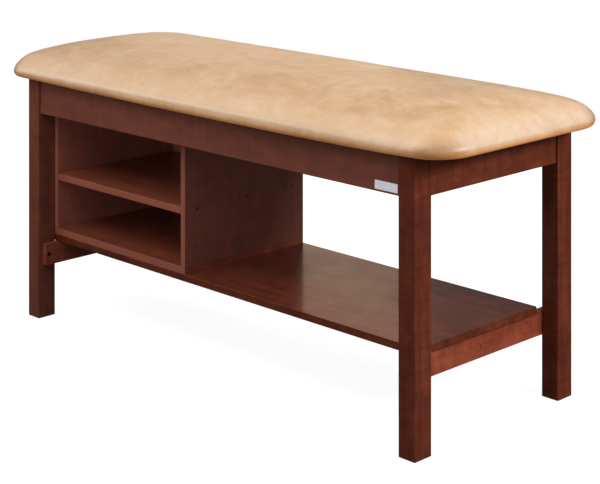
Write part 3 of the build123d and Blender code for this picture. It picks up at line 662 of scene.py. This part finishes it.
def soft_top():
    """The cover and its padding, in place of the CAD's two solids."""
    low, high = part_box("vinyl_cover")
    half_x = (high.x - low.x) / 2
    half_y = (high.y - low.y) / 2
    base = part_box("top_baseboard")[0].z
    points, faces, top_count, rim = sheet(half_x, half_y, base)
    height = points[:, 2] - base
    free = np.clip((height - PINNED_BELOW) / FREE_OVER, 0.0, 1.0)
    points = inflate(points, faces, free)
    points = dressed(points, faces, half_x, half_y, base)
    cover = mesh_object("cushion_cover", points, faces)
    cover.modifiers.new("smooth", "SUBSURF").levels = 1
    cover.modifiers["smooth"].render_levels = 1
    shell = cover.modifiers.new("thickness", "SOLIDIFY")
    shell.thickness = THICKNESS
    shell.offset = -1.0
    cover.data.materials.append(tan_vinyl())
    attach(cover, "root")
    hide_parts("vinyl_cover")
    padding = foam_solid(points, faces, top_count, rim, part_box("foam_pad")[0].z + FOAM_GAP)
    padding.data.materials.append(foam())
    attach(padding, "root")
    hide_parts("foam_pad")


# ==== CAD pieces ====


def paint(node, material):
    obj = NODES[node]
    if not obj.material_slots:
        obj.data.materials.append(material)
    for slot in obj.material_slots:
        slot.material = material


def paint_wood():
    """Grain runs up the legs and uprights, and along every other board; each board gets a tone and a share of
    painted reflection, the tones partly the boards' own stain and partly painted light.
    """
    boards = {
        "leg_front_left": "Z", "leg_front_right": "Z", "leg_rear_left": "Z", "leg_rear_right": "Z",
        "apron_front": "X", "apron_rear": "X", "apron_left": "Y", "apron_right": "Y",
        "end_stretcher_left": "Y", "end_stretcher_right": "Y", "shelf_centre_rail": "X", "long_shelf": "X",
        "storage_bottom": "X", "storage_top": "X", "storage_mid_shelf": "X",
        "storage_left_side": "Z", "storage_divider": "Z", "storage_back_panel": "X",
    }
    # Tones are partly each board's own stain and partly painted light: some boards are lightened or darkened
    # to stand in for how light falls on them, most of all the storage back panel, which is lightened as
    # painted light in its dim compartment. The second number mixes in a painted reflection.
    tone_and_painted_light = {
        "end_stretcher_left": (1.6, 0.1), "end_stretcher_right": (1.9, 0.0), "long_shelf": (0.9, 0.0),
        "apron_front": (1.25, 0.25), "leg_front_left": (1.05, 0.16),
        "leg_front_right": (0.88, 0.0), "leg_rear_right": (0.88, 0.0),
        "storage_divider": (1.25, 0.3), "storage_back_panel": (2.8, 0.85), "storage_left_side": (1.8, 0.38),
        "storage_bottom": (1.5, 0.08),
    }
    for seed, (node, axis) in enumerate(boards.items(), 1):
        stored = node.startswith("storage")
        tone, painted_reflection = tone_and_painted_light.get(node, (1.9, 0.12) if stored else (1.0, 0.0))
        # Storage boards get painted front light on the faces that look to the front.
        painted_front_light, banding = (0.6, 0.03) if stored else (0.0, 0.12)
        paint(node, stained_wood("wood_" + node, axis, seed, tone, painted_reflection, painted_front_light, banding))


def paint_rest():
    """Materials by the record's slots; the middle shelf's screws are browned to sit with the wood."""
    shared = {
        "raw_wood": raw_wood(),
        "plywood": plywood(),
        "zinc_steel": metal("zinc_steel", (0.62, 0.61, 0.58), (0.46, 0.45, 0.42), 0.34),
        "dark_steel": metal("dark_steel", (0.045, 0.038, 0.034), (0.02, 0.018, 0.016), 0.42),
        "glide_plastic": glide_plastic(),
        "label_film": label_film(),
    }
    for part in frame["record"]["subparts"]:
        if part["material_slot"] in shared:
            paint(part["node"], shared[part["material_slot"]])
    paint("mid_shelf_screws", metal("bronzed_steel", (0.085, 0.050, 0.036), (0.055, 0.032, 0.024), 0.5, 0.4))


# ==== Stage, light and camera ====

FLOOR_SIZE = 60.0
LENS = 95.719
SENSOR = 36.0
STATION = Vector((3.39147, -2.82964, 1.49439))
AZIMUTH = math.radians(41.193)
SHIFT = (-0.38658, -0.72607)
SHIFT_HOLDS = 0.5  # metres from the station
SHIFT_GONE = 1.0
WARM = (1.0, 0.68, 0.43)
AMBIENT = 0.33
AMBIENT_MIRRORED = 0.16
FLOOR_GLOW = 0.90
FLOOR_GREYS = ((0.30, 0.30, 0.30), (0.33, 0.33, 0.33))
FLOOR_MIRRORED = (0.035, 0.03, 0.025)


def floor():
    """A pale ground that the camera sees almost white and that is dim in mirror reflections."""
    half = FLOOR_SIZE / 2
    corners = [(-half, -half, 0), (half, -half, 0), (half, half, 0), (-half, half, 0)]
    obj = mesh_object("floor", corners, [(0, 1, 2, 3)])
    g = Graph("floor_paint")
    mottle = g.noise(g("TexCoord", out="Object"), 2.0, 2.0)
    seen = g("LightPath", out="Is Camera Ray")
    mirrored = g("LightPath", out="Is Glossy Ray")
    pale = g.ramp(mottle, [(0.3, FLOOR_GREYS[0]), (0.7, FLOOR_GREYS[1])])
    shade = g.mix(mirrored, pale, FLOOR_MIRRORED)
    diffuse = g("BsdfDiffuse", {"Color": shade})
    glow = g("Emission", {"Color": (1, 1, 1, 1), "Strength": g.times(seen, FLOOR_GLOW)})
    both = g("AddShader", {0: diffuse, 1: glow})
    output = g.tree.nodes.new("ShaderNodeOutputMaterial")
    g.tree.links.new(both, output.inputs["Surface"])
    obj.data.materials.append(g.material)


def lamp(name, place, aim, size, power, colour=(1, 1, 1), only=()):
    """An area lamp that the camera doesn't see; with only, it lights just those CAD pieces."""
    data = bpy.data.lights.new(name, "AREA")
    data.shape = "RECTANGLE"
    data.size, data.size_y = size
    data.energy = power
    data.color = colour
    obj = bpy.data.objects.new(name, data)
    obj.location = place
    obj.rotation_mode = "QUATERNION"
    obj.rotation_quaternion = (Vector(aim) - Vector(place)).to_track_quat("-Z", "Y")
    obj.visible_camera = False
    bpy.context.scene.collection.objects.link(obj)
    if only:
        lit = bpy.data.collections.new(name + "_lights")
        for node in only:
            lit.objects.link(NODES[node])
        obj.light_linking.receiver_collection = lit


def studio():
    """A white surround, dimmer in mirror reflections, and the lamps."""
    scene = bpy.context.scene
    scene.view_settings.view_transform = "Standard"
    world = bpy.data.worlds.new("studio")
    world.use_nodes = True
    tree = world.node_tree
    background = tree.nodes["Background"]
    background.inputs["Color"].default_value = (1.0, 1.0, 1.0, 1.0)
    path = tree.nodes.new("ShaderNodeLightPath")
    strength = tree.nodes.new("ShaderNodeMapRange")
    strength.inputs["To Min"].default_value = AMBIENT
    strength.inputs["To Max"].default_value = AMBIENT_MIRRORED
    tree.links.new(path.outputs["Is Glossy Ray"], strength.inputs["Value"])
    tree.links.new(strength.outputs["Result"], background.inputs["Strength"])
    scene.world = world
    lamp("overhead", (0.0, -1.7, 2.9), (0.0, -0.2, 0.7), (3.0, 1.6), 46)
    lamp("left", (-2.9, -2.2, 1.6), (0.0, -0.2, 0.7), (1.8, 0.9), 16)
    lamp("rear", (1.0, 1.8, 2.7), (0.3, 0.0, 0.75), (1.8, 1.6), 7)
    lamp("key", (3.9, 0.5, 2.2), (0.3, 0.0, 0.5), (2.0, 0.9), 112)
    lamp("fill", (1.3, -3.4, 2.8), (0.3, 0.0, 0.5), (2.4, 1.4), 9)
    lamp("back", (-2.9, 2.3, 1.35), (0.1, 0.0, 0.3), (1.5, 1.2), 5.5, WARM)
    inside = ("storage_left_side", "storage_back_panel")
    lamp("compartments", (0.8, -2.7, 0.46), (-0.5, 0.0, 0.43), (1.0, 0.3), 9, only=inside)


def camera():
    """A level camera with a shifted frame, as a view camera has; the shift holds only at its own station."""
    data = bpy.data.cameras.new("camera")
    data.lens = LENS
    data.sensor_width = SENSOR
    data.clip_end = 200.0
    obj = bpy.data.objects.new("camera", data)
    obj.location = STATION
    forward = Vector((-math.sin(AZIMUTH), math.cos(AZIMUTH), 0.0))
    obj.rotation_mode = "QUATERNION"
    obj.rotation_quaternion = forward.to_track_quat("-Z", "Y")
    station = bpy.data.objects.new("camera_station", None)
    station.location = STATION
    for thing in (obj, station):
        bpy.context.scene.collection.objects.link(thing)
    for path, value in zip(("shift_x", "shift_y"), SHIFT):
        curve = data.driver_add(path)
        driver = curve.driver
        driver.type = "AVERAGE"
        distance = driver.variables.new()
        distance.type = "LOC_DIFF"
        distance.targets[0].id = obj
        distance.targets[1].id = station
        for modifier in list(curve.modifiers):
            curve.modifiers.remove(modifier)
        for away, amount in ((0.0, value), (SHIFT_HOLDS, value), (SHIFT_GONE, 0.0)):
            curve.keyframe_points.insert(away, amount).interpolation = "LINEAR"
        curve.extrapolation = "CONSTANT"
    bpy.context.scene.camera = obj


soft_top()
paint_wood()
paint_rest()
floor()
studio()
camera()
